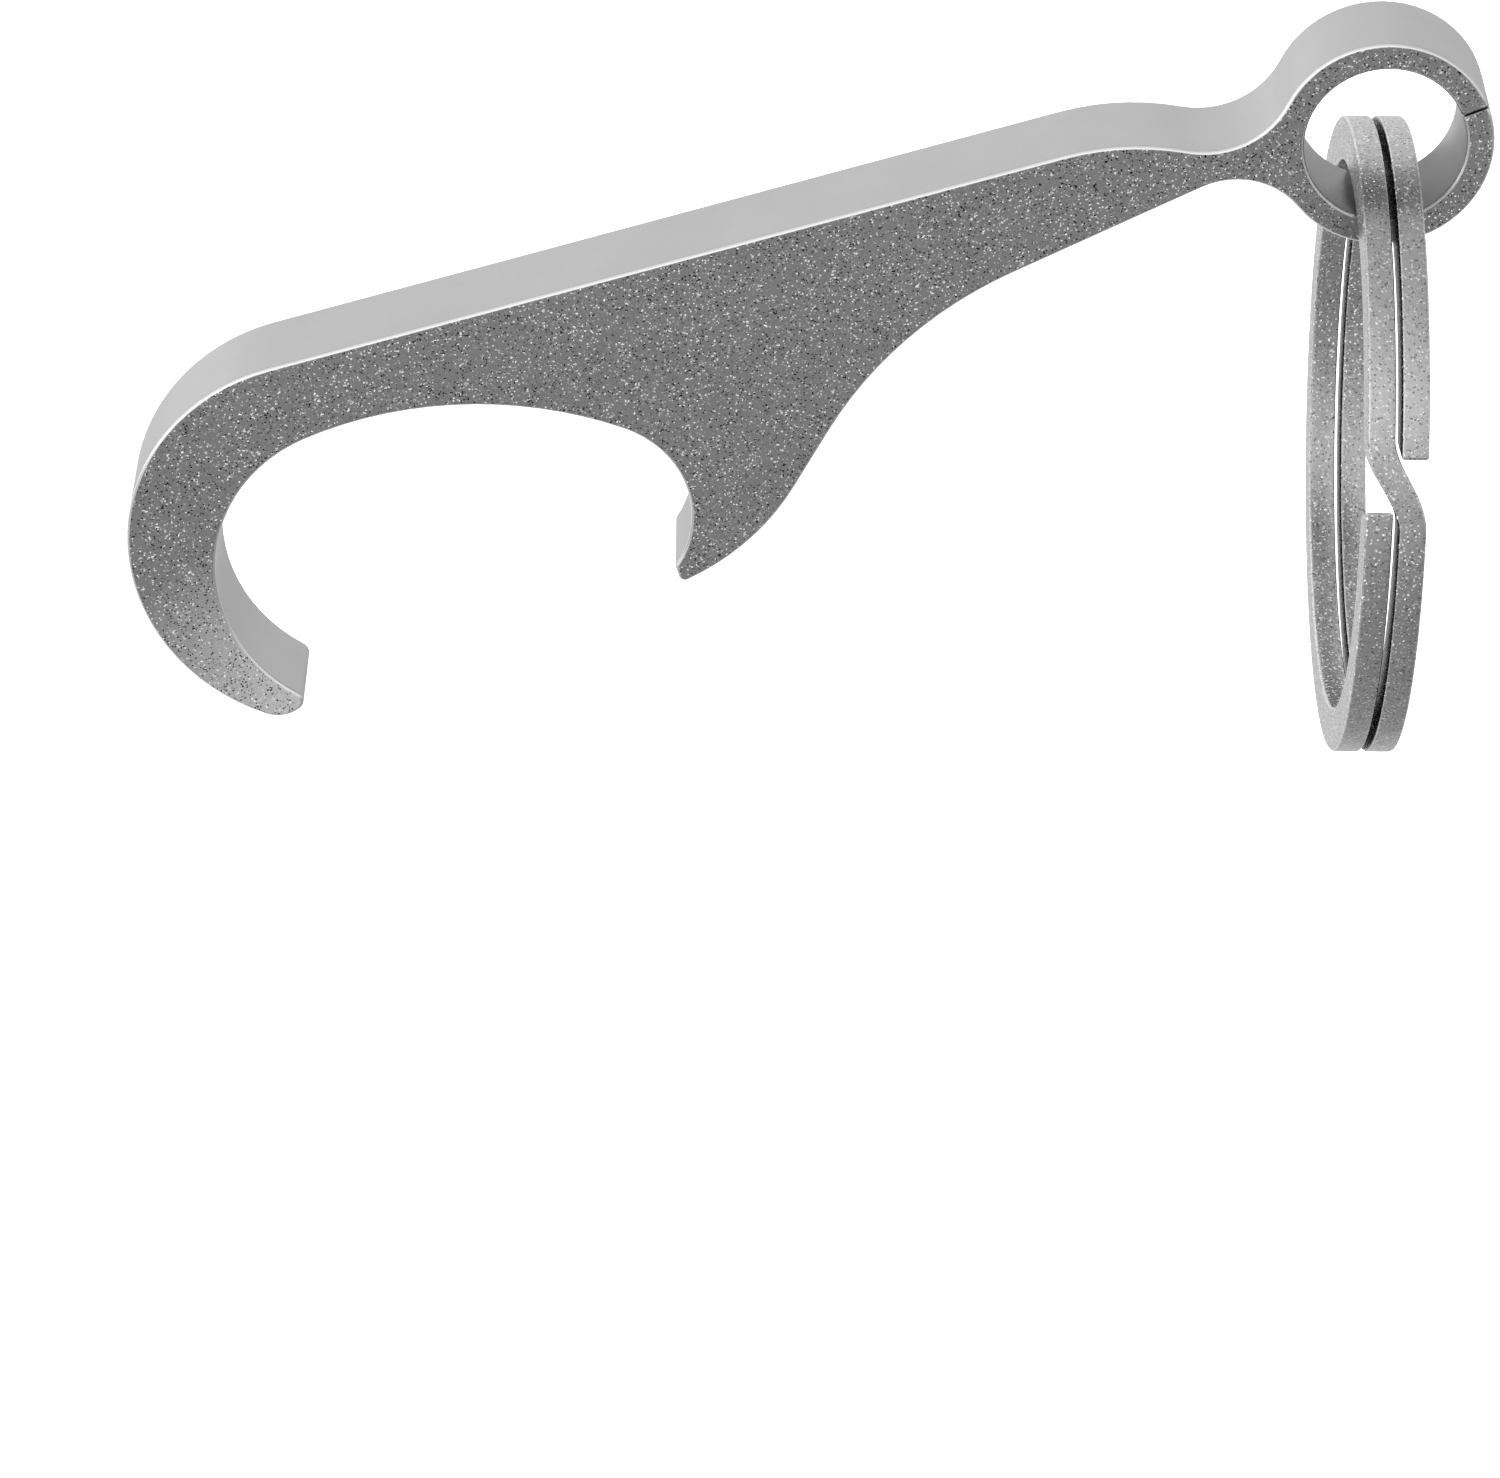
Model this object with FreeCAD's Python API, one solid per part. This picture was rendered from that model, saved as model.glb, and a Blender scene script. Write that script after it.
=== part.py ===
import FreeCAD, Part
import math
import os
from FreeCAD import Vector

# Keychain bottle opener: one cut and blasted plate, hanging a two-turn split ring from its eye.
# Millimetres. +Z is up and the plate stands in the XZ plane. The origin is the centre of the eye,
# half way through the plate. The hook end points to -X, and the spine slopes up towards the eye.
# The plate's outline is drawn in the plate's own plane: u runs along the spine towards the eye,
# v is square to the spine, and both start at the eye's centre.

# Plate
PLATE_THICK = 4.9
EDGE_BEVEL = 0.12
SPINE_RISE = 16.3            # slope of the spine above the horizontal, degrees
SPINE_TOP = 3.4              # straight back edge above the eye's centre

# Eye
EYE_BORE_R = 3.5
EYE_WALL = 1.2
SLIT_WIDTH = 0.1
SLIT_ANGLE = 6.0             # direction of the saw slit from the u axis, degrees

# Hook
HOOK_REACH = 49.45           # eye centre to the centre of the hook's outer arc, along the spine
HOOK_R = 9.15
HOOK_TIP_R = 1.55
HOOK_TIP_ANGLE = 232.5
HOOK_LIP_R = 0.5             # lip that lifts the cap's rim

# Mouth: three tangent arcs, over the hook, over the crown and down to the tooth
HOOK_WALL = 1.91             # hook's outer radius less the mouth's radius at the hook
MOUTH_SHIFT_U = 1.55         # mouth's hook-side arc centre from the hook's arc centre
MOUTH_SHIFT_V = -1.78
CROWN_R = 18.08
CROWN_START = 98.5           # where the hook-side arc meets the crown arc
CROWN_END = 52.87            # where the crown arc meets the tooth-side arc
MOUTH_TOOTH_R = 4.6

# Tooth that bears on the cap's top
TOOTH_ANGLE = -49.3          # where the mouth's last arc ends
TOOTH_LAND = 0.91
TOOTH_TOP_R = 0.2
TOOTH_TOE_R = 0.3
TOOTH_SLOPE = 9.4            # direction of the underside as it leaves the tooth
HEEL_R = 11.35
HEEL_SLOPE = 44.9            # steepest stretch of the underside

# Belly and neck
BELLY_R = 18.57
NECK_FROM_EYE = 8.15         # a point on the neck's straight lower edge, and that edge's slope
NECK_LOW = 0.243
NECK_SLOPE = 10.33
NECK_LOWER_FILLET = 3.4
SHOULDER_FROM_EYE = 13.4     # where the straight back edge ends
SHOULDER_R = 11.35
NECK_UPPER_FILLET = 3.85

# Split ring: one flat strip, two turns side by side
STRIP_WIDTH = 1.19           # along the ring's axis
STRIP_DEPTH = 1.95           # radial
STRIP_CORNER_R = 0.15
STRIP_END_BEVEL = 0.14
STRIP_END_TILT = 16.0        # the cut ends are undercut, so their inner edges stand back
TURN_GAP = 0.26
RING_INNER_R = 12.15
FIRST_END = 22.1             # ring angles, from the front of the ring upwards, degrees
SECOND_END = 13.0
JOG_START = 9.2
JOG_END = 25.8
JOG_STATIONS = 11
RING_LEAN = 0.85             # the ring hangs a little out of square
RING_CLEARANCE = 0.04        # between the ring's inner edges and the eye's bore

EYE_OUTER_R = EYE_BORE_R + EYE_WALL
TURN_OFFSET = (STRIP_WIDTH + TURN_GAP) / 2


def flat(u, v):
    return Vector(u, 0, v)


def heading(degrees):
    angle = math.radians(degrees)
    return flat(math.cos(angle), math.sin(angle))


def left_of(degrees):
    return heading(degrees + 90)


def centre_at(first, first_distance, second, second_distance, side):
    """The point at a distance from each of two centres; side +1 is left of first-to-second."""
    gap = second - first
    along = (gap.Length ** 2 + first_distance ** 2 - second_distance ** 2) / (2 * gap.Length)
    across = math.sqrt(first_distance ** 2 - along ** 2)
    direction = gap / gap.Length
    return first + direction * along + flat(-direction.z, direction.x) * (side * across)


def towards(start, end, distance):
    return start + (end - start) * (distance / (end - start).Length)


def arc(centre, start, end, clockwise=False):
    """Arc about centre from start to end, as an edge."""
    radius = (start - centre).Length
    first = math.atan2(start.z - centre.z, start.x - centre.x)
    last = math.atan2(end.z - centre.z, end.x - centre.x)
    turn = (first - last if clockwise else last - first) % (2 * math.pi)
    middle = first - turn / 2 if clockwise else first + turn / 2
    on_arc = centre + flat(radius * math.cos(middle), radius * math.sin(middle))
    return Part.Arc(start, on_arc, end).toShape()


def line(start, end):
    return Part.LineSegment(start, end).toShape()


def hook_and_mouth():
    """Edges from the spine's far end round the hook and through the mouth, and the sharp corners."""
    hook = flat(-HOOK_REACH, SPINE_TOP - HOOK_R)
    spine_end = hook + flat(0, HOOK_R)
    tip = hook + heading(HOOK_TIP_ANGLE) * (HOOK_R - HOOK_TIP_R)
    tip_start = towards(hook, tip, HOOK_R)
    mouth_hook_r = HOOK_R - HOOK_WALL
    mouth_hook = hook + flat(MOUTH_SHIFT_U, MOUTH_SHIFT_V)
    lip = centre_at(tip, HOOK_TIP_R, mouth_hook, mouth_hook_r, -1)
    crown = mouth_hook - heading(CROWN_START) * (CROWN_R - mouth_hook_r)
    crown_start = crown + heading(CROWN_START) * CROWN_R
    crown_end = crown + heading(CROWN_END) * CROWN_R
    mouth_tooth = crown + heading(CROWN_END) * (CROWN_R - MOUTH_TOOTH_R)
    tooth_top = mouth_tooth + heading(TOOTH_ANGLE) * MOUTH_TOOTH_R
    tooth_toe = tooth_top - flat(0, TOOTH_LAND)
    edges = [
        arc(hook, spine_end, tip_start),
        arc(tip, tip_start, lip),
        arc(mouth_hook, lip, crown_start, clockwise=True),
        arc(crown, crown_start, crown_end, clockwise=True),
        arc(mouth_tooth, crown_end, tooth_top, clockwise=True),
        line(tooth_top, tooth_toe),
    ]
    corners = [(lip, HOOK_LIP_R), (tooth_top, TOOTH_TOP_R), (tooth_toe, TOOTH_TOE_R)]
    return edges, corners, spine_end, tooth_toe


def underside(tooth_toe):
    """Edges from the tooth's toe up the heel, along the belly and round under the neck to the eye."""
    eye = flat(0, 0)
    heel = tooth_toe + left_of(TOOTH_SLOPE) * HEEL_R
    heel_end = heel - left_of(HEEL_SLOPE) * HEEL_R
    neck_point = flat(-NECK_FROM_EYE, NECK_LOW)
    # The belly rounds the corner where the heel's straight stretch meets the neck's lower edge.
    steep = heading(HEEL_SLOPE)
    shallow = heading(NECK_SLOPE)
    across = left_of(NECK_SLOPE)
    corner = heel_end + steep * ((neck_point - heel_end).dot(across) / steep.dot(across))
    tangent = BELLY_R * math.tan(math.radians(HEEL_SLOPE - NECK_SLOPE) / 2)
    belly_start = corner - steep * tangent
    belly_end = corner + shallow * tangent
    belly = belly_end - across * BELLY_R
    # The fillet under the neck touches that edge and the eye.
    below = neck_point - across * NECK_LOWER_FILLET
    reach = EYE_OUTER_R + NECK_LOWER_FILLET
    along = below.dot(shallow)
    fillet = below - shallow * (along + math.sqrt(along ** 2 - below.dot(below) + reach ** 2))
    fillet_start = fillet + across * NECK_LOWER_FILLET
    fillet_end = towards(eye, fillet, EYE_OUTER_R)
    edges = [
        arc(heel, tooth_toe, heel_end),
        line(heel_end, belly_start),
        arc(belly, belly_start, belly_end, clockwise=True),
        line(belly_end, fillet_start),
        arc(fillet, fillet_start, fillet_end, clockwise=True),
    ]
    return edges, fillet_end


def eye_and_shoulder(eye_start, spine_end):
    """Edges round the eye, down into the waved neck and back along the straight spine."""
    eye = flat(0, 0)
    shoulder_start = flat(-SHOULDER_FROM_EYE, SPINE_TOP)
    shoulder = shoulder_start - flat(0, SHOULDER_R)
    fillet = centre_at(
        eye, EYE_OUTER_R + NECK_UPPER_FILLET, shoulder, SHOULDER_R + NECK_UPPER_FILLET, -1
    )
    eye_end = towards(eye, fillet, EYE_OUTER_R)
    shoulder_end = towards(shoulder, fillet, SHOULDER_R)
    return [
        arc(eye, eye_start, eye_end),
        arc(fillet, eye_end, shoulder_end, clockwise=True),
        arc(shoulder, shoulder_end, shoulder_start),
        line(shoulder_start, spine_end),
    ]


def through_plate_edge(shape, corner):
    """The straight edge that runs through the plate's thickness at a corner of the outline."""
    return next(
        edge
        for edge in shape.Edges
        if len(edge.Vertexes) == 2
        and abs(edge.Vertexes[0].Y - edge.Vertexes[1].Y) > PLATE_THICK / 2
        and Vector(edge.Vertexes[0].X, 0, edge.Vertexes[0].Z).distanceToPoint(corner) < 1e-4
    )


def on_a_face(edge):
    ends = [point.y for point in edge.discretize(5)]
    return max(ends) - min(ends) < 1e-6


def opener_body():
    hook_edges, corners, spine_end, tooth_toe = hook_and_mouth()
    under_edges, eye_start = underside(tooth_toe)
    outline = Part.Wire(hook_edges + under_edges + eye_and_shoulder(eye_start, spine_end))
    back = Vector(0, -PLATE_THICK / 2, 0)
    through = Vector(0, PLATE_THICK, 0)
    plate = Part.Face(outline).extrude(through)
    plate.translate(back)
    for corner, radius in corners:
        plate = plate.makeFillet(radius, [through_plate_edge(plate, corner)])
    plate = plate.cut(Part.makeCylinder(EYE_BORE_R, PLATE_THICK, back, Vector(0, 1, 0)))
    plate = plate.makeChamfer(EDGE_BEVEL, [edge for edge in plate.Edges if on_a_face(edge)])
    slit_corner = Vector(EYE_BORE_R - EYE_WALL, -PLATE_THICK, -SLIT_WIDTH / 2)
    slit = Part.makeBox(EYE_WALL * 3, PLATE_THICK * 2, SLIT_WIDTH, slit_corner)
    slit.rotate(Vector(0, 0, 0), Vector(0, -1, 0), SLIT_ANGLE)
    plate = plate.cut(slit)
    plate.rotate(Vector(0, 0, 0), Vector(0, -1, 0), SPINE_RISE)
    return plate


def jog_progress(angle):
    """How far the strip has crossed from the first turn to the second, 0 to 1, and its rate."""
    part = (angle - JOG_START) / (JOG_END - JOG_START)
    rate = math.pi / 2 * math.sin(math.pi * part) / math.radians(JOG_END - JOG_START)
    return (1 - math.cos(math.pi * part)) / 2, rate


def strip_section(angle, offset, slope):
    """Rounded rectangle of the strip at a ring angle; slope is its sideways drift per length."""
    turn = math.radians(angle)
    outward = Vector(0, -math.cos(turn), math.sin(turn))
    forward = Vector(slope, math.sin(turn), math.cos(turn)).normalize()
    across = outward.cross(forward)
    if across.x < 0:
        across = -across
    middle = outward * (RING_INNER_R + STRIP_DEPTH / 2) + Vector(offset, 0, 0)
    half_width = STRIP_WIDTH / 2
    half_depth = STRIP_DEPTH / 2
    r = STRIP_CORNER_R
    lean = r * (1 - math.sqrt(0.5))

    def at(x, y):
        return middle + across * x + outward * y

    edges = []
    for a, b in ((1, 1), (-1, 1), (-1, -1), (1, -1)):
        side_end = at(a * half_width, b * (half_depth - r))
        top_start = at(a * (half_width - r), b * half_depth)
        on_corner = at(a * (half_width - lean), b * (half_depth - lean))
        if a == b:
            edges.append(Part.Arc(side_end, on_corner, top_start).toShape())
            edges.append(line(top_start, at(-a * (half_width - r), b * half_depth)))
        else:
            edges.append(Part.Arc(top_start, on_corner, side_end).toShape())
            edges.append(line(side_end, at(a * half_width, -b * (half_depth - r))))
    return Part.Wire(edges)


def turn_of_strip(start, degrees, offset, free_end, into_strip):
    """One turn at a fixed place along the axis, its free end undercut and its edges broken.

    into_strip is +1 where the strip leads off from its free end at growing ring angles, else -1.
    """
    face = Part.Face(strip_section(start, offset, 0))
    turn = face.revolve(Vector(0, 0, 0), Vector(-1, 0, 0), degrees)
    angle = math.radians(free_end)
    outward = Vector(0, -math.cos(angle), math.sin(angle))
    inside = Vector(0, math.sin(angle), math.cos(angle)) * into_strip
    outer_edge = outward * (RING_INNER_R + STRIP_DEPTH) - Vector(2 * STRIP_WIDTH - offset, 0, 0)
    tilt = math.radians(STRIP_END_TILT)
    down_cut = inside * math.sin(tilt) - outward * math.cos(tilt)
    cut_top = outer_edge - down_cut * (STRIP_DEPTH / 2)
    cut_foot = outer_edge + down_cut * (STRIP_DEPTH * 1.5)
    outside = inside * (-STRIP_DEPTH / 2)
    waste = [cut_top, cut_foot, cut_foot + outside, cut_top + outside]
    wedge = Part.Face(Part.makePolygon(waste + waste[:1])).extrude(Vector(4 * STRIP_WIDTH, 0, 0))
    turn = turn.cut(wedge)
    across_cut = inside * math.cos(tilt) + outward * math.sin(tilt)
    end_edges = [
        edge
        for edge in turn.Edges
        if all(abs((point - outer_edge).dot(across_cut)) < 1e-5 for point in edge.discretize(5))
    ]
    return turn.makeChamfer(STRIP_END_BEVEL, end_edges)


def jog_of_strip():
    radius = RING_INNER_R + STRIP_DEPTH / 2
    sections = []
    for station in range(JOG_STATIONS):
        angle = JOG_START + (JOG_END - JOG_START) * station / (JOG_STATIONS - 1)
        progress, rate = jog_progress(angle)
        offset = TURN_OFFSET * (1 - 2 * progress)
        sections.append(strip_section(angle, offset, -2 * TURN_OFFSET * rate / radius))
    return Part.makeLoft(sections, True, False)


def split_ring():
    right_turn = turn_of_strip(FIRST_END, 360 + JOG_START - FIRST_END, TURN_OFFSET, FIRST_END, 1)
    left_turn = turn_of_strip(JOG_END, 360 + SECOND_END - JOG_END, -TURN_OFFSET, SECOND_END, -1)
    ring = right_turn.fuse([jog_of_strip(), left_turn]).removeSplitter()
    # The ring's inner edges rest in the bore: the pair of turns is a chord of the bore's circle,
    # and the plate's thickness is a chord of the ring's own inner circle.
    half_pair = TURN_OFFSET + STRIP_WIDTH / 2
    rise_in_bore = EYE_BORE_R - math.sqrt(EYE_BORE_R ** 2 - half_pair ** 2)
    rise_over_plate = RING_INNER_R - math.sqrt(RING_INNER_R ** 2 - (PLATE_THICK / 2) ** 2)
    drop = EYE_BORE_R - rise_in_bore - rise_over_plate - RING_CLEARANCE + RING_INNER_R
    ring.rotate(Vector(0, 0, 0), Vector(0, 1, 0), RING_LEAN)
    ring.translate(Vector(0, 0, -drop))
    return ring


def main():
    os.makedirs("parts", exist_ok=True)
    for name, shape in (("opener_body", opener_body()), ("split_ring", split_ring())):
        solid = shape.Solids[0]
        if len(shape.Solids) != 1 or not solid.isValid():
            raise RuntimeError(f"{name} is not one valid solid")
        solid.exportStep(f"parts/{name}.step")
        box = solid.BoundBox
        print(
            f"{name}: {solid.Volume:.2f} mm3, X {box.XMin:.2f} to {box.XMax:.2f},"
            f" Y {box.YMin:.2f} to {box.YMax:.2f}, Z {box.ZMin:.2f} to {box.ZMax:.2f}"
        )


main()
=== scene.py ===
import math

import bmesh
import bpy
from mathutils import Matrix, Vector


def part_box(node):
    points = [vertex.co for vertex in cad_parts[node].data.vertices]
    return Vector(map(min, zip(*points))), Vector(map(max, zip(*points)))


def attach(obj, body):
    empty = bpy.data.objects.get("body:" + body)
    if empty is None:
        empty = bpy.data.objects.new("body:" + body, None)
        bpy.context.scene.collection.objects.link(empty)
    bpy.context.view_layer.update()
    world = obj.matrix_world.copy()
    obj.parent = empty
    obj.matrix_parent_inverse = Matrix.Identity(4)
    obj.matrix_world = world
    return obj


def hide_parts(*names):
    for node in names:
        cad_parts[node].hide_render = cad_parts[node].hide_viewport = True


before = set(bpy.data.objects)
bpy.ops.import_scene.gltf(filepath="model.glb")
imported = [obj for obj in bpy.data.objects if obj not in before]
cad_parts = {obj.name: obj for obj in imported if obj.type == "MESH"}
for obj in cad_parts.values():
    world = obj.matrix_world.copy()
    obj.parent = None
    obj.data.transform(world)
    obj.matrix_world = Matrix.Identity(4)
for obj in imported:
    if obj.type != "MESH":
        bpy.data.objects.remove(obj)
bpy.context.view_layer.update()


# ---------------------------------------------------------------- the opener plate
# One flat plate of stainless steel, 4.9 mm thick, cut to its outline and bead blasted. The two
# broad faces keep the blast's coarse sparkle, its glints painted bright. The cut walls are tumbled
# smooth, and every edge is broken and rubbed, and painted light as a bright highlight line.

MM = 0.001
WELD = 0.001 * MM            # corners of the plate's mesh closer than this are one corner
FLAT_WITHIN = math.radians(0.5)
BROAD_FACE = 0.95            # a face this square to the plate's thickness is a broad face
CUT_WALL = 0.2               # and one less square than this is a cut wall
EDGE_ROUND = 0.05 * MM       # softens both sides of the broken edge
EDGE_ANGLE = math.radians(30)

FACE_GREY = 0.38
FACE_GRAIN = 0.064 * MM      # size of one blasted facet
FACE_ROUGH = 0.34
FACET_LEAN = 0.12            # how far plain facets lean, as a share of the normal
GLINT_LEAN = 1.25            # and how far the bright ones do
GLINT_FROM = 0.88            # above this chance a facet starts to lean further
GLINT_FULL = 0.91            # and above this one it leans its furthest
LEAN_CENTRE = (0.5, 0.5, 0.2)   # taken off each random lean; the low last value turns it upwards
# Facets by chance: dark pits, the plain ground, then glints, whose colour is painted bright as a
# highlight besides their lean. Each is (chance, share of the grey).
FACET_GREYS_AND_PAINTED_GLINTS = [(0.0, 0.03), (0.05, 0.10), (0.08, 0.97), (0.885, 1.02), (0.91, 2.5), (1.0, 2.7)]
GLOSS_FROM = 0.6             # above this chance the facets are glossier
GLOSS_RANGE = (0.04, -0.10)  # added to the roughness of dull facets, and of the glossiest

# How the blast wanders over a face. Each is (patch size, least, most).
CHANCE_DRIFT = (0.7 * MM, -0.025, 0.025)
CLOUD_DRIFT = (4 * MM, 0.97, 1.03)
FINE_DRIFT = (0.25 * MM, 0.96, 1.04)

WALL_GREY = 0.51
WALL_GRAIN = 0.09 * MM
WALL_ROUGH = 0.38
WALL_DRIFT = (3 * MM, 0.98, 1.02)
SHEEN_PATCH = 1.5 * MM       # the tumbled metal's roughness wanders over patches of this size
# Painted highlight: the broken edges are painted this light, so they show as bright lines.
EDGE_HIGHLIGHT_GREY = 0.85
EDGE_ROUGH = 0.24
GRAIN_DEPTH = 0.004 * MM
GRAIN_STRENGTH = 0.2

HOOK_LIP = (-47.4 * MM, 0, -27.1 * MM)
PAINTED_HOOK_LIGHT_REACH = 9.0 * MM         # a painted reflection lightens the hook this far from its lip
PAINTED_HOOK_LIGHT_CORE = 1.35 * MM         # and this near the lip it is painted lightest
PAINTED_HOOK_LIGHT = 2.7


def new_metal(name):
    """An empty metal: its node tree, its shader and the surface's own coordinates."""
    metal = bpy.data.materials.new(name)
    metal.use_nodes = True
    tree = metal.node_tree
    shader = tree.nodes["Principled BSDF"]
    shader.inputs["Metallic"].default_value = 1.0
    surface = tree.nodes.new("ShaderNodeTexCoord").outputs["Object"]
    return metal, tree, shader, surface


def facets(tree, surface, size):
    """A random vector and a random number for each small blasted facet."""
    cells = tree.nodes.new("ShaderNodeTexVoronoi")
    cells.inputs["Scale"].default_value = 1 / size
    tree.links.new(surface, cells.inputs["Vector"])
    parts = tree.nodes.new("ShaderNodeSeparateColor")
    tree.links.new(cells.outputs["Color"], parts.inputs["Color"])
    return cells.outputs["Color"], parts.outputs["Red"]


def vector_step(tree, kind, first, second=None):
    """One vector step; the second value is a fixed vector or another node's output, if it has one."""
    node = tree.nodes.new("ShaderNodeVectorMath")
    node.operation = kind
    tree.links.new(first, node.inputs[0])
    if isinstance(second, bpy.types.NodeSocket):
        tree.links.new(second, node.inputs[1])
    elif second:
        node.inputs[1].default_value = second
    return node


def lean_facets(tree, shader, facet, tilt):
    """Gives each facet its own random lean, upwards more than down, by a tilt that may vary."""
    lean = vector_step(tree, "SUBTRACT", facet, LEAN_CENTRE).outputs["Vector"]
    scaled = vector_step(tree, "SCALE", lean)
    tree.links.new(tilt, scaled.inputs["Scale"])
    normal = tree.nodes.new("ShaderNodeNewGeometry").outputs["Normal"]
    leaning = vector_step(tree, "ADD", normal, scaled.outputs["Vector"]).outputs["Vector"]
    leaning = vector_step(tree, "NORMALIZE", leaning).outputs["Vector"]
    tree.links.new(leaning, shader.inputs["Normal"])


def mottle(tree, surface, size, detail=3.0):
    """Soft noise with patches of a given size."""
    noise = tree.nodes.new("ShaderNodeTexNoise")
    noise.inputs["Scale"].default_value = 1 / size
    noise.inputs["Detail"].default_value = detail
    tree.links.new(surface, noise.inputs["Vector"])
    return noise.outputs["Fac"]


def ramp(tree, factor, stops):
    """Greys at places along a factor; stops are (place, grey)."""
    node = tree.nodes.new("ShaderNodeValToRGB")
    band = node.color_ramp
    while len(band.elements) < len(stops):
        band.elements.new(1.0)
    for element, (place, grey) in zip(band.elements, stops):
        element.position = place
        element.color = (grey, grey, grey, 1)
    tree.links.new(factor, node.inputs["Fac"])
    return node.outputs["Color"]


def spread(tree, factor, low, high, start=0.0, end=1.0):
    """A factor stretched from start..end to low..high."""
    node = tree.nodes.new("ShaderNodeMapRange")
    for name, value in (("From Min", start), ("From Max", end), ("To Min", low), ("To Max", high)):
        node.inputs[name].default_value = value
    tree.links.new(factor, node.inputs["Value"])
    return node.outputs["Result"]


def drift(tree, surface, size, low, high, detail=3.0):
    """Soft noise with patches of a given size, wandering between low and high. The noise itself
    keeps mostly between 0.3 and 0.7."""
    return spread(tree, mottle(tree, surface, size, detail), low, high, 0.3, 0.7)


def combine(tree, kind, first, second):
    """One calculation on two nodes' outputs."""
    node = tree.nodes.new("ShaderNodeMath")
    node.operation = kind
    tree.links.new(first, node.inputs[0])
    tree.links.new(second, node.inputs[1])
    return node.outputs["Value"]


def relief(tree, shader, height):
    """The faintest bumps on the shader's normal."""
    bump = tree.nodes.new("ShaderNodeBump")
    bump.inputs["Distance"].default_value = GRAIN_DEPTH
    bump.inputs["Strength"].default_value = GRAIN_STRENGTH
    tree.links.new(height, bump.inputs["Height"])
    tree.links.new(bump.outputs["Normal"], shader.inputs["Normal"])


def blasted_steel(name, grey, grain, glint, contrast, roughness):
    """Even grey metal strewn with tiny facets: dark pits, and glints that lean far and are painted
    bright as highlights.
    Gives its tree, shader, coordinates and colour too, so that a piece can add its own painted light
    and shade."""
    metal, tree, shader, surface = new_metal(name)
    facet, chance = facets(tree, surface, grain)
    chance = combine(tree, "ADD", chance, drift(tree, surface, *CHANCE_DRIFT))
    greys = [(place, grey * (1 + contrast * (share - 1))) for place, share in FACET_GREYS_AND_PAINTED_GLINTS]
    specks_and_painted_glints = ramp(tree, chance, greys)
    cloud = drift(tree, surface, *CLOUD_DRIFT)
    fine = drift(tree, surface, *FINE_DRIFT)
    colour = combine(tree, "MULTIPLY", combine(tree, "MULTIPLY", specks_and_painted_glints, cloud), fine)
    dull, glossy = (roughness + change for change in GLOSS_RANGE)
    rough = spread(tree, chance, dull, glossy, GLOSS_FROM, 1.0)
    tree.links.new(rough, shader.inputs["Roughness"])
    tilt = spread(tree, chance, FACET_LEAN, glint, GLINT_FROM, GLINT_FULL)
    lean_facets(tree, shader, facet, tilt)
    return metal, tree, shader, surface, colour


def paint_light_and_shade(tree, shader, colour, amount):
    """The finished colour: the metal's own, times the painted light and shade at each spot."""
    tree.links.new(combine(tree, "MULTIPLY", colour, amount), shader.inputs["Base Color"])


def smooth_steel(name, grey, grain, roughness):
    """Tumbled metal: almost even, with the faintest grain."""
    metal, tree, shader, surface = new_metal(name)
    fine = drift(tree, surface, grain, 0.97 * grey, 1.03 * grey, detail=5.0)
    cloud = drift(tree, surface, *WALL_DRIFT)
    tree.links.new(combine(tree, "MULTIPLY", fine, cloud), shader.inputs["Base Color"])
    rough = drift(tree, surface, SHEEN_PATCH, roughness - 0.03, roughness + 0.03)
    tree.links.new(rough, shader.inputs["Roughness"])
    relief(tree, shader, mottle(tree, surface, grain))
    return metal


def add_object(name, data):
    """A new object in the scene, standing at the origin."""
    made = bpy.data.objects.new(name, data)
    bpy.context.scene.collection.objects.link(made)
    return made


plate_mesh = bpy.data.meshes.new("opener_plate")
plate_shape = bmesh.new()
plate_shape.from_mesh(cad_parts["opener_body"].data)
bmesh.ops.remove_doubles(plate_shape, verts=plate_shape.verts, dist=WELD)
bmesh.ops.dissolve_limit(
    plate_shape, angle_limit=FLAT_WITHIN, verts=plate_shape.verts, edges=plate_shape.edges
)
for face in plate_shape.faces:
    face.smooth = True
    square_on = abs(face.normal.y)
    if square_on > BROAD_FACE:
        face.material_index = 0
    elif square_on < CUT_WALL:
        face.material_index = 1
    else:
        face.material_index = 2
plate_shape.to_mesh(plate_mesh)
plate_shape.free()
opener_plate = add_object("opener_plate", plate_mesh)

# The three metals go on in the order of those numbers: broad faces, cut walls, broken edges.
face_metal, tree, shader, surface, colour = blasted_steel(
    "blasted plate face", FACE_GREY, FACE_GRAIN, GLINT_LEAN, contrast=1.0, roughness=FACE_ROUGH
)
# Painted reflection: the broad faces are painted lighter towards the hook's lip.
from_lip = vector_step(tree, "DISTANCE", surface, HOOK_LIP).outputs["Value"]
paint_light_and_shade(tree, shader, colour, spread(tree, from_lip, PAINTED_HOOK_LIGHT, 1.0, PAINTED_HOOK_LIGHT_CORE, PAINTED_HOOK_LIGHT_REACH))
plate_mesh.materials.append(face_metal)
plate_mesh.materials.append(smooth_steel("tumbled cut wall", WALL_GREY, WALL_GRAIN, WALL_ROUGH))
plate_mesh.materials.append(smooth_steel("rubbed broken edge, painted highlight", EDGE_HIGHLIGHT_GREY, WALL_GRAIN, EDGE_ROUGH))

soften = opener_plate.modifiers.new("broken edges", "BEVEL")
soften.width = EDGE_ROUND
soften.segments = 2
soften.limit_method = "ANGLE"
soften.angle_limit = EDGE_ANGLE
soften.use_clamp_overlap = False
even = opener_plate.modifiers.new("flat faces stay flat", "WEIGHTED_NORMAL")
even.keep_sharp = True
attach(opener_plate, "opener")
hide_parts("opener_body")


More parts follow.
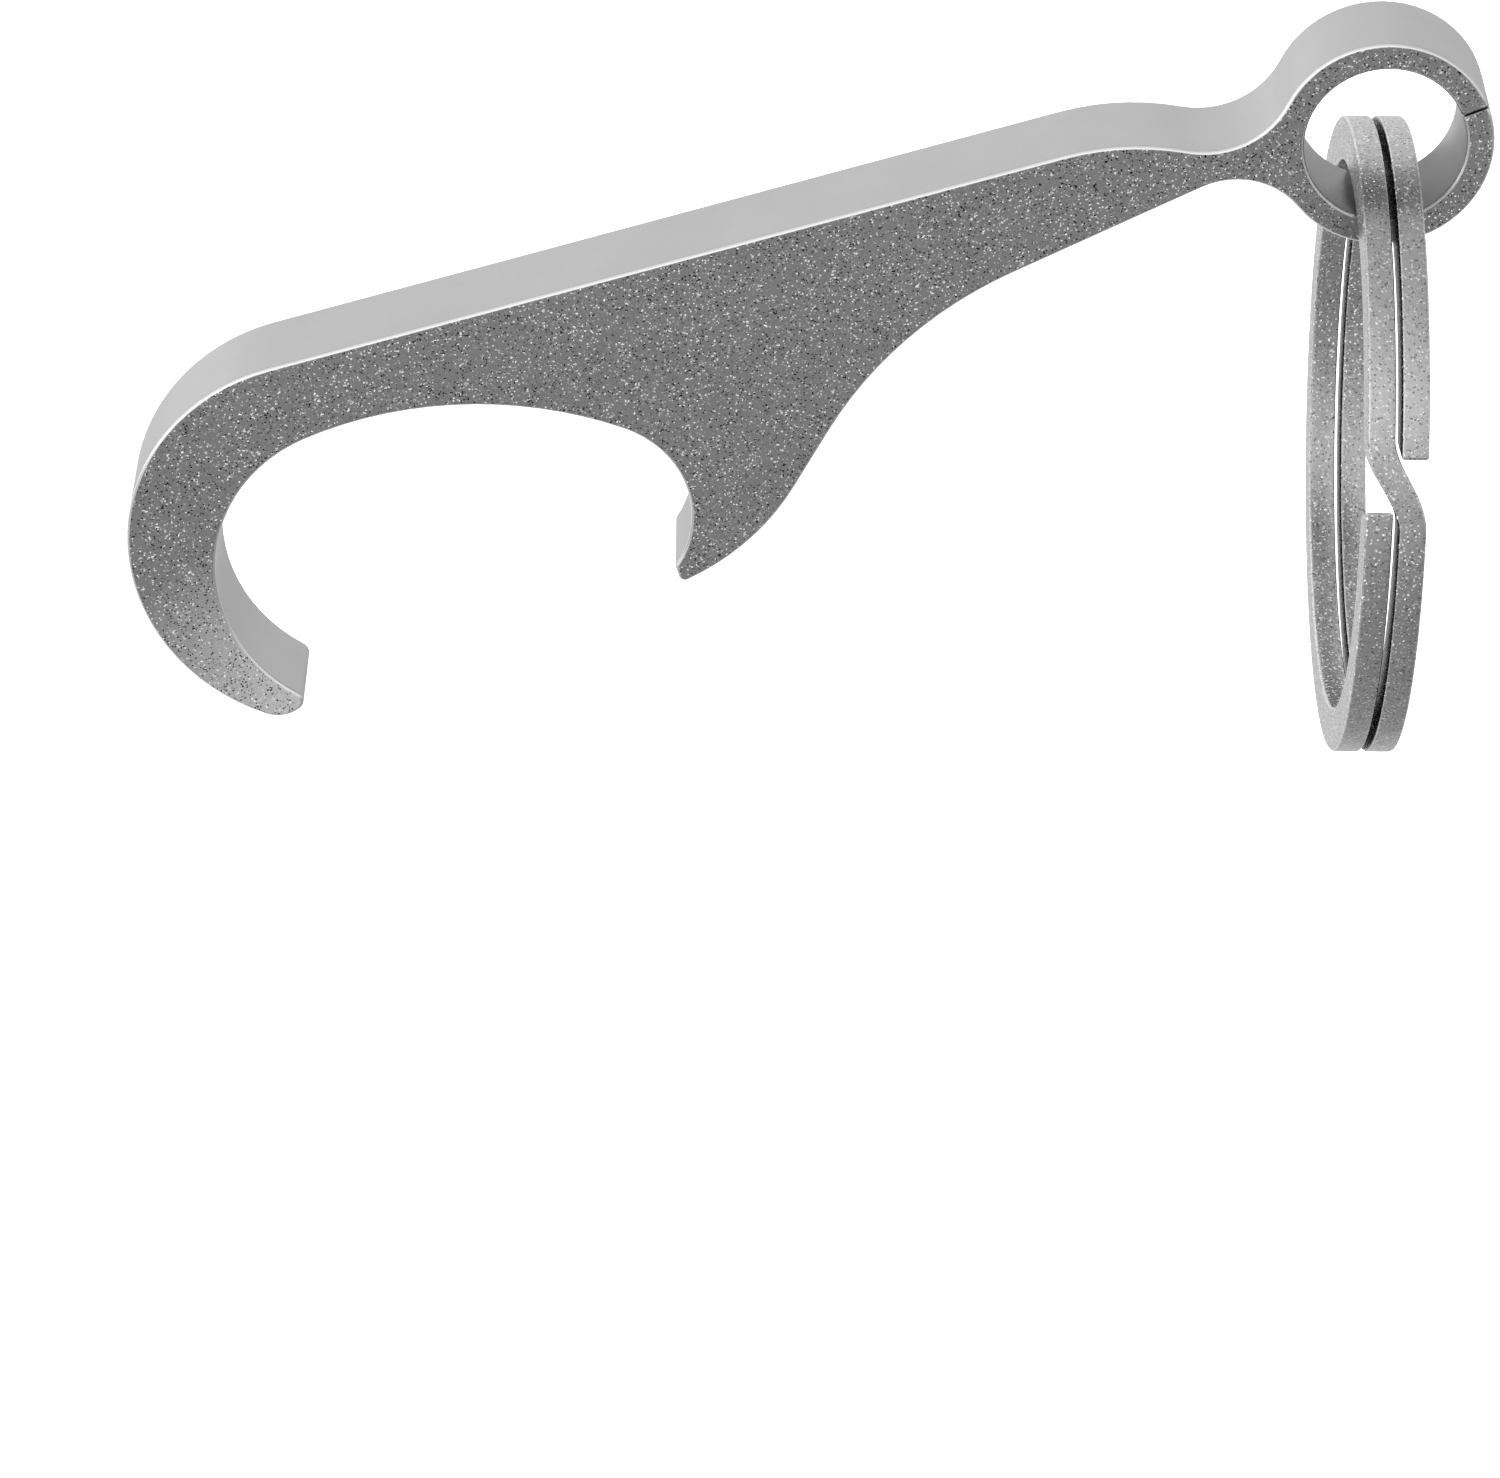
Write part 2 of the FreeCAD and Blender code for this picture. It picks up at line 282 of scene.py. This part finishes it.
# ---------------------------------------------------------------- the split ring
# One flat strip of blasted spring steel, wound two turns side by side, with a short jog where
# it crosses from one turn to the other. Both ends are cut a little undercut, their edges broken,
# so that a key slides in between the turns. It hangs by its own weight from the eye.

ring_low, ring_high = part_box("split_ring")
STRIP_WIDTH = 1.19 * MM      # along the ring's axis
STRIP_DEPTH = 1.95 * MM      # radial
STRIP_CORNER = 0.15 * MM
CORNER_POINTS = 4
RING_INNER = (ring_high.y - ring_low.y) / 2 - STRIP_DEPTH
TURN_OFFSET = 0.725 * MM     # middle of the ring to the middle of either turn
RING_DROP = -(ring_low.z + ring_high.z) / 2
RING_LEAN = math.radians(0.85)

# Angles along the winding, from the front of the ring upwards.
FIRST_END = math.radians(22.1)
JOG_START = math.radians(369.2)
JOG_END = math.radians(385.8)
LAST_END = math.radians(733.0)
STATIONS = 900
END_UNDERCUT = math.radians(16)
END_FADE = math.radians(40)  # the winding gives way to the undercut over this stretch
END_ROUND = 0.13 * MM
END_ANGLE = math.radians(60)

RING_GREY = 0.48
RING_GRAIN = 0.070 * MM
RING_ROUGH = 0.28
RING_GLINT_LEAN = 0.85
RING_CONTRAST = 0.62         # the strip's pits and painted glints are fainter than the plate's
PAINTED_SEAM_SHADE = 0.22            # painted shade: the two turns' facing sides are painted dark
SEAM_FACING = -0.75          # a face that looks this far towards the other turn is a facing side
PAINTED_CORNER_HIGHLIGHT = 1.4             # painted highlight: the strip's rounded corners are painted bright
CORNER_FROM = 0.32           # a corner's faces look outwards by more than this
CORNER_TO = 0.97             # and by less than this

ring_metal, tree, shader, _, colour = blasted_steel(
    "blasted ring strip",
    RING_GREY,
    RING_GRAIN,
    RING_GLINT_LEAN,
    contrast=RING_CONTRAST,
    roughness=RING_ROUGH,
)


def marked_part(tree, mark, plain, painted_value):
    """A factor for the strip's faces that carry a mark, which the winding below puts on them, for
    painted light and shade.
    """
    node = tree.nodes.new("ShaderNodeAttribute")
    node.attribute_name = mark
    return spread(tree, node.outputs["Fac"], plain, painted_value)


# Painted shade darkens the turns' facing sides, and painted highlight lightens the rounded corners.
painted_seam_shade = marked_part(tree, "painted seam shade", 1.0, PAINTED_SEAM_SHADE)
painted_corner_highlight = marked_part(tree, "corner", 1.0, PAINTED_CORNER_HIGHLIGHT)
paint_light_and_shade(tree, shader, colour, combine(tree, "MULTIPLY", painted_seam_shade, painted_corner_highlight))

coil = bpy.data.node_groups.new("wound strip", "GeometryNodeTree")
coil.interface.new_socket("Geometry", in_out="OUTPUT", socket_type="NodeSocketGeometry")
coil_values = {}


def coil_input(name, value, kind="NodeSocketFloat"):
    """A named input of the strip's tree, and the value its modifier gets."""
    socket = coil.interface.new_socket(name, in_out="INPUT", socket_type=kind)
    coil_values[socket.identifier] = value


coil_input("Width", STRIP_WIDTH)
coil_input("Depth", STRIP_DEPTH)
coil_input("Corner", STRIP_CORNER)
coil_input("Inner Radius", RING_INNER)
coil_input("Turn Offset", TURN_OFFSET)
coil_input("Drop", RING_DROP)
coil_input("Lean", RING_LEAN)
coil_input("First End", FIRST_END)
coil_input("Jog Start", JOG_START)
coil_input("Jog End", JOG_END)
coil_input("Last End", LAST_END)
coil_input("End Undercut", END_UNDERCUT)
coil_input("Stations", STATIONS, "NodeSocketInt")
coil_input("Metal", ring_metal, "NodeSocketMaterial")
size_of = coil.nodes.new("NodeGroupInput").outputs


def coil_node(kind, **inputs):
    """A node of the strip's tree; each input is a value or another node's output."""
    node = coil.nodes.new(kind)
    for name, value in inputs.items():
        socket = node.inputs[name.replace("_", " ")]
        if isinstance(value, bpy.types.NodeSocket):
            coil.links.new(value, socket)
        else:
            socket.default_value = value
    return node


def coil_math(kind, first, second=0.0):
    """One calculation in the strip's tree; each value is a number or another node's output."""
    node = coil.nodes.new("ShaderNodeMath")
    node.operation = kind
    for socket, value in zip(node.inputs, (first, second)):
        if isinstance(value, bpy.types.NodeSocket):
            coil.links.new(value, socket)
        else:
            socket.default_value = value
    return node.outputs["Value"]


# Stations follow each other round the ring, and cross from one turn to the other at the jog.
station = coil.nodes.new("GeometryNodeInputIndex").outputs["Index"]
last_station = coil_math("SUBTRACT", size_of["Stations"], 1.0)
angle = coil_node(
    "ShaderNodeMapRange",
    Value=station,
    From_Max=last_station,
    To_Min=size_of["First End"],
    To_Max=size_of["Last End"],
).outputs["Result"]
crossing = coil_node(
    "ShaderNodeMapRange",
    Value=angle,
    From_Min=size_of["Jog Start"],
    From_Max=size_of["Jog End"],
    To_Max=math.pi,
).outputs["Result"]
sideways = coil_math("MULTIPLY", coil_math("COSINE", crossing), size_of["Turn Offset"])
radius = coil_math("ADD", size_of["Inner Radius"], coil_math("MULTIPLY", size_of["Depth"], 0.5))
forward = coil_math("MULTIPLY", coil_math("COSINE", angle), -1.0)
outward = coil_node("ShaderNodeCombineXYZ", Y=forward, Z=coil_math("SINE", angle)).outputs["Vector"]
place = coil_node(
    "ShaderNodeCombineXYZ",
    X=sideways,
    Y=coil_math("MULTIPLY", forward, radius),
    Z=coil_math("MULTIPLY", coil_math("SINE", angle), radius),
).outputs["Vector"]
stations = coil_node("GeometryNodeMeshLine", Count=size_of["Stations"]).outputs["Mesh"]
line = coil_node("GeometryNodeMeshToCurve", Mesh=stations).outputs["Curve"]
line = coil_node("GeometryNodeSetPosition", Geometry=line, Position=place).outputs["Geometry"]
marked = coil_node("GeometryNodeStoreNamedAttribute", Geometry=line, Name="way round", Value=angle)
line = coil_node(
    "GeometryNodeStoreNamedAttribute",
    Geometry=marked.outputs["Geometry"],
    Name="aside",
    Value=coil_math("DIVIDE", sideways, size_of["Turn Offset"]),
).outputs["Geometry"]

# The strip's oblong section, with its corners rounded, is carried along that line.
upright = coil_node("GeometryNodeSetCurveNormal", Curve=line)
upright.mode = "FREE"
coil.links.new(outward, upright.inputs["Normal"])
oblong = coil_node(
    "GeometryNodeCurvePrimitiveQuadrilateral", Width=size_of["Depth"], Height=size_of["Width"]
).outputs["Curve"]
rounded = coil_node("GeometryNodeFilletCurve", Curve=oblong, Radius=size_of["Corner"])
rounded.mode = "POLY"
rounded.inputs["Count"].default_value = CORNER_POINTS
strip = coil_node(
    "GeometryNodeCurveToMesh",
    Curve=upright.outputs["Curve"],
    Profile_Curve=rounded.outputs["Curve"],
    Fill_Caps=True,
).outputs["Mesh"]

# The cut ends lean: towards each end, the strip's inner side is drawn back along the turn.
way_round = coil_node("GeometryNodeInputNamedAttribute", Name="way round").outputs["Attribute"]
near_first = coil_node(
    "ShaderNodeMapRange",
    Value=way_round,
    From_Min=size_of["First End"],
    From_Max=coil_math("ADD", size_of["First End"], END_FADE),
    To_Min=1.0,
    To_Max=0.0,
).outputs["Result"]
near_last = coil_node(
    "ShaderNodeMapRange",
    Value=way_round,
    From_Min=coil_math("SUBTRACT", size_of["Last End"], END_FADE),
    From_Max=size_of["Last End"],
).outputs["Result"]
spot = coil.nodes.new("GeometryNodeInputPosition").outputs["Position"]
side_on = coil_node("ShaderNodeVectorMath", Vector=spot)
side_on.operation = "MULTIPLY"
side_on.inputs[1].default_value = (0, 1, 1)
distance = coil_node("ShaderNodeVectorMath", Vector=side_on.outputs["Vector"])
distance.operation = "LENGTH"
from_axis = distance.outputs["Value"]
outer_radius = coil_math("ADD", size_of["Inner Radius"], size_of["Depth"])
inwards = coil_math("SUBTRACT", outer_radius, from_axis)
drawn_back = coil_math("MULTIPLY", inwards, coil_math("TANGENT", size_of["End Undercut"]))
drawn_back = coil_math("DIVIDE", drawn_back, from_axis)
drawn_back = coil_math("MULTIPLY", drawn_back, coil_math("SUBTRACT", near_last, near_first))
turned = coil_node("ShaderNodeVectorRotate", Vector=spot, Angle=drawn_back)
turned.rotation_type = "X_AXIS"
undercut = coil_node("GeometryNodeSetPosition", Geometry=strip, Position=turned.outputs["Vector"])

# The side of each turn that faces the other turn is marked for the metal's painted shade.
face_normal = coil.nodes.new("GeometryNodeInputNormal").outputs["Normal"]
facing = coil_node("ShaderNodeSeparateXYZ", Vector=face_normal).outputs["X"]
aside = coil_node("GeometryNodeInputNamedAttribute", Name="aside").outputs["Attribute"]
inner_side = coil_math("LESS_THAN", coil_math("MULTIPLY", facing, aside), SEAM_FACING)
painted_seam_side = coil_node(
    "GeometryNodeStoreNamedAttribute",
    Geometry=undercut.outputs["Geometry"],
    Name="painted seam shade",
    Value=inner_side,
)
painted_seam_side.domain = "FACE"

# So are the strip's rounded corners, for the metal's painted highlight; their faces look neither
# straight out nor straight aside.
radial = coil_node("ShaderNodeVectorMath", Vector=side_on.outputs["Vector"])
radial.operation = "NORMALIZE"
slant = coil_node("ShaderNodeVectorMath", Vector=radial.outputs["Vector"])
slant.operation = "DOT_PRODUCT"
coil.links.new(face_normal, slant.inputs[1])
slant = coil_math("ABSOLUTE", slant.outputs["Value"])
above = coil_math("GREATER_THAN", slant, CORNER_FROM)
between = coil_math("MULTIPLY", above, coil_math("LESS_THAN", slant, CORNER_TO))
corner = coil_node(
    "GeometryNodeStoreNamedAttribute",
    Geometry=painted_seam_side.outputs["Geometry"],
    Name="corner",
    Value=between,
)
corner.domain = "FACE"

# The coil is wound about its own middle, then leaned and let down to hang from the eye.
down = coil_node("ShaderNodeCombineXYZ", Z=coil_math("MULTIPLY", size_of["Drop"], -1.0))
lean = coil_node("ShaderNodeCombineXYZ", Y=size_of["Lean"])
hung = coil_node("GeometryNodeTransform", Geometry=corner.outputs["Geometry"])
coil.links.new(down.outputs["Vector"], hung.inputs["Translation"])
coil.links.new(lean.outputs["Vector"], hung.inputs["Rotation"])
real = coil_node("GeometryNodeRealizeInstances", Geometry=hung.outputs["Geometry"])
painted = coil_node(
    "GeometryNodeSetMaterial", Geometry=real.outputs["Geometry"], Material=size_of["Metal"]
)
finished = coil.nodes.new("NodeGroupOutput").inputs["Geometry"]
coil.links.new(painted.outputs["Geometry"], finished)

split_ring = add_object("split_ring_strip", bpy.data.meshes.new("split_ring_strip"))
winding = split_ring.modifiers.new("wound strip", "NODES")
winding.node_group = coil
for identifier, value in coil_values.items():
    winding[identifier] = value
bpy.context.view_layer.update()
evaluated = split_ring.evaluated_get(bpy.context.evaluated_depsgraph_get())
wound = bpy.data.meshes.new_from_object(evaluated)
split_ring.modifiers.clear()
split_ring.data = wound
wound.shade_smooth()
cut_ends = split_ring.modifiers.new("broken cut ends", "BEVEL")
cut_ends.width = END_ROUND
cut_ends.segments = 3
cut_ends.limit_method = "ANGLE"
cut_ends.angle_limit = END_ANGLE
square_ends = split_ring.modifiers.new("flat sides stay flat", "WEIGHTED_NORMAL")
square_ends.keep_sharp = True
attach(split_ring, "ring")
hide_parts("split_ring")


# ---------------------------------------------------------------- floor and light
# A plain white sheet of paper well below the hanging opener, lit by one large soft box overhead
# that the metal doesn't mirror. The metal mirrors a light tent: brightest high in front and level
# behind, dimmer low in front, and brighter on the left than on the right.

FLOOR_DROP = 0.09
FLOOR_REACH = 6
PAPER_WHITE = (0.9, 0.9, 0.9, 1)
PAPER_ROUGH = 0.9
BOX_SIDE = 2.0
BOX_POWER = 60.0
BOX_PLACE = (-0.02, 0.3, 1.5)

floor_mesh = bpy.data.meshes.new("floor")
floor_mesh.from_pydata(
    [
        (x * FLOOR_REACH, y * FLOOR_REACH, -FLOOR_DROP)
        for x, y in ((-1, -1), (1, -1), (1, 1), (-1, 1))
    ],
    [],
    [(0, 1, 2, 3)],
)
floor = add_object("floor", floor_mesh)
paper = bpy.data.materials.new("white paper")
paper.use_nodes = True
paper_shader = paper.node_tree.nodes["Principled BSDF"]
paper_shader.inputs["Base Color"].default_value = PAPER_WHITE
paper_shader.inputs["Roughness"].default_value = PAPER_ROUGH
floor_mesh.materials.append(paper)
floor.visible_glossy = False

overhead = bpy.data.lights.new("overhead box", "AREA")
overhead.shape = "SQUARE"
overhead.size = BOX_SIDE
overhead.energy = BOX_POWER
overhead_box = add_object("overhead box", overhead)
overhead_box.location = BOX_PLACE
overhead_box.visible_glossy = False

# The tent's glow by turn about the opener's long axis, in degrees: 0 is level in front, 90 is
# overhead and 180 is level behind. Then its share of that glow from left, -1, to right, 1.
TENT_GLOW = [
    (-180, 0.66),
    (-160, 0.52),
    (-139, 0.56),
    (-119, 0.46),
    (-99, 0.30),
    (-60, 0.27),
    (-30, 0.28),
    (0, 0.42),
    (20, 0.60),
    (43, 0.84),
    (61, 0.57),
    (90, 0.44),
    (121, 0.45),
    (144, 0.66),
    (162, 0.66),
]
TENT_SIDES = [(-1.0, 1.0), (-0.5, 0.88), (-0.28, 0.78), (0.05, 0.78), (0.4, 0.64), (1.0, 0.56)]
TENT_STRENGTH = 2.0

tent = bpy.data.worlds.new("light tent")
bpy.context.scene.world = tent
tent.use_nodes = True
tree = tent.node_tree
sky = tree.nodes["Background"]
toward = tree.nodes.new("ShaderNodeTexCoord").outputs["Generated"]
split = tree.nodes.new("ShaderNodeSeparateXYZ")
tree.links.new(toward, split.inputs["Vector"])
to_front = spread(tree, split.outputs["Y"], 1.0, -1.0, -1.0, 1.0)
round_tent = combine(tree, "ARCTAN2", split.outputs["Z"], to_front)
round_tent = spread(tree, round_tent, 0.0, 1.0, -math.pi, math.pi)
across_tent = spread(tree, split.outputs["X"], 0.0, 1.0, -1.0, 1.0)
glow = ramp(tree, round_tent, [((turn + 180) / 360, grey) for turn, grey in TENT_GLOW])
sides = ramp(tree, across_tent, [((across + 1) / 2, grey) for across, grey in TENT_SIDES])
tree.links.new(combine(tree, "MULTIPLY", glow, sides), sky.inputs["Color"])
sky.inputs["Strength"].default_value = TENT_STRENGTH


# ---------------------------------------------------------------- camera
# A long lens in front of the plate, looking down on its upper edge, so that the broad face, the
# upper wall and the whole round of the ring show together.

CAMERA_PLACE = (-28.11 * MM, -261.25 * MM, 116.18 * MM)
LOOK_DOWN = math.radians(29.326)
LOOK_ASIDE = math.radians(0.174)
LENS = 157.82                # focal length and film width, both in mm
FILM_WIDTH = 36

lens = bpy.data.cameras.new("camera")
lens.lens = LENS
lens.sensor_width = FILM_WIDTH
camera = add_object("camera", lens)
camera.location = CAMERA_PLACE
ahead = Vector(
    (
        math.sin(LOOK_ASIDE) * math.cos(LOOK_DOWN),
        math.cos(LOOK_ASIDE) * math.cos(LOOK_DOWN),
        -math.sin(LOOK_DOWN),
    )
)
camera.rotation_euler = ahead.to_track_quat("-Z", "Y").to_euler()
lens.clip_start = 0.01
lens.clip_end = 50
bpy.context.scene.camera = camera
bpy.context.scene.view_settings.view_transform = "Standard"
